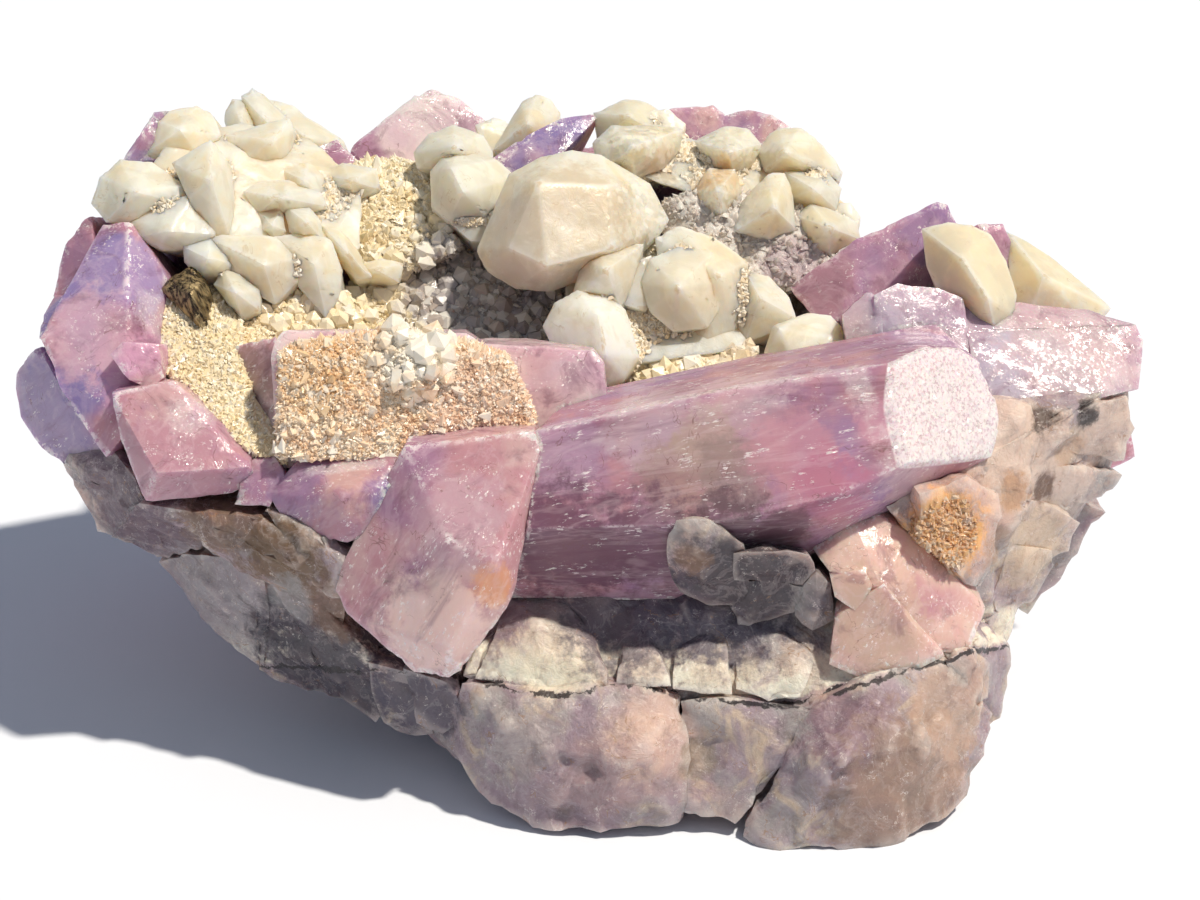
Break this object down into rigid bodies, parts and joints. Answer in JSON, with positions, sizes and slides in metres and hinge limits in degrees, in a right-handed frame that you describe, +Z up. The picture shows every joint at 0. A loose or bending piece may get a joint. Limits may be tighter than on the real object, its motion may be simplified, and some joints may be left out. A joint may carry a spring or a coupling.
{
  "type": "mineral specimen",
  "caption": "Fluorite and calcite specimen: lilac fluorite crystals round a pocket lined with quartz druse and cream calcite, on a rock base with a flat break to rest on.",
  "frame": {"origin": "middle of the bounding box, at the flat break underneath", "axes": "+X to the right along the longest side, +Y to the back, +Z up; the long fluorite crystal faces -Y"},
  "size_m": [0.2004, 0.1326, 0.0991],
  "materials": {
    "calcite": "frosted translucent cream crystal",
    "fluorite": "translucent lilac to pink crystal, worn and partly frosted",
    "quartz": "glittering sugar-grained druse, golden beige",
    "sulphide": "dark striated metallic crystal",
    "rock": "massive grey-mauve fluorite and quartz, rough, with brown and orange stains"
  },
  "bodies": {
    "root": {"calcite_left": "calcite", "calcite_middle": "calcite", "calcite_rear_prong": "calcite", "calcite_centre": "calcite", "calcite_behind_beam": "calcite", "calcite_rear_right": "calcite", "calcite_right": "calcite", "calcite_right_rear": "calcite", "calcite_back": "calcite", "sulphide_crystal": "sulphide", "fluorite_front_block": "fluorite", "fluorite_beam": "fluorite", "fluorite_pocket_block": "fluorite", "fluorite_front_left": "fluorite", "fluorite_left": "fluorite", "fluorite_left_rear": "fluorite", "fluorite_right": "fluorite", "fluorite_rear_right": "fluorite", "fluorite_rear_peak": "fluorite", "fluorite_rear_centre": "fluorite", "fluorite_pocket_floor": "fluorite", "fluorite_lower_right": "fluorite", "fluorite_back_left": "fluorite", "fluorite_back_right": "fluorite", "quartz_block_face": "quartz", "quartz_pocket_crust": "quartz", "rock_body": "rock"}
  },
  "joints": []
}
